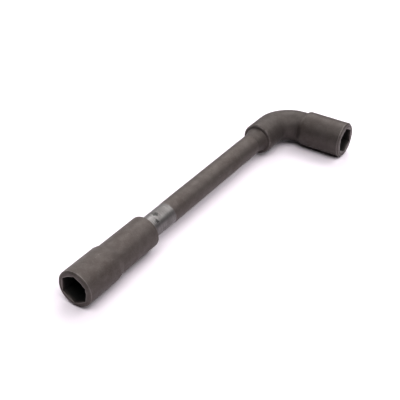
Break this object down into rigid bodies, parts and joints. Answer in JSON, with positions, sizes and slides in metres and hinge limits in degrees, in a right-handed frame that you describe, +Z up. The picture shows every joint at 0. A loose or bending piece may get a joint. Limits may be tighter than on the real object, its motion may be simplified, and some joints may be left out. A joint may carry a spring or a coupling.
{
  "type": "lug wrench",
  "caption": "L-shaped lug wrench: a round bar with a stepped hexagon socket in line at its front, and a thicker bent arm ending in a hexagon socket for the same nut.",
  "frame": {"origin": "centre of the front socket's mouth, on the long leg's axis", "axes": "+Y along the long leg to the bend, +X along the short leg and out of its mouth, +Z up, square to both legs"},
  "size_m": [0.0773, 0.2999, 0.0302],
  "materials": {
    "socket_steel": "satin dark phosphate on turned steel, worn bright on the rims",
    "bar_steel": "satin dark phosphate on drawn steel, with a bare turned land behind the front socket",
    "arm_steel": "satin dark phosphate on forged steel, slightly uneven"
  },
  "bodies": {
    "root": {"front_socket": "socket_steel", "bar": "bar_steel", "bent_arm": "arm_steel", "short_socket": "socket_steel"}
  },
  "joints": []
}
